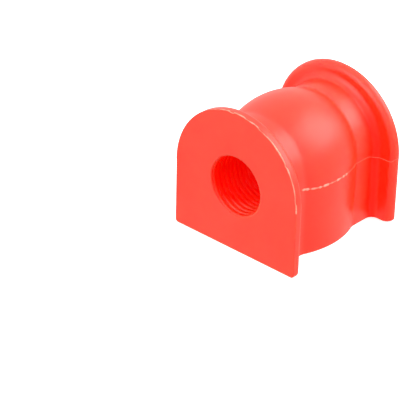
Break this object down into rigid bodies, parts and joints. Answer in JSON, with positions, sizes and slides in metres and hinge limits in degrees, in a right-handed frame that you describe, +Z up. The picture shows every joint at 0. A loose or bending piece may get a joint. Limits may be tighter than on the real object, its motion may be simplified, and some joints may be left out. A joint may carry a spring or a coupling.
{
  "type": "sway bar bushing",
  "caption": "D-shaped moulded bush with end flanges, a barrelled middle and a threaded-look grease bore, which holds an anti-roll bar in its bracket.",
  "frame": {"origin": "centre of the flat seat, midway between the end faces", "axes": "+Z up from the seat, +Y along the bore from the front face to the rear face, +X to the right seen from the front"},
  "size_m": [0.05, 0.05, 0.048],
  "materials": {
    "polyurethane": "satin, slightly translucent"
  },
  "bodies": {
    "root": {"bushing_body": "polyurethane"}
  },
  "joints": []
}
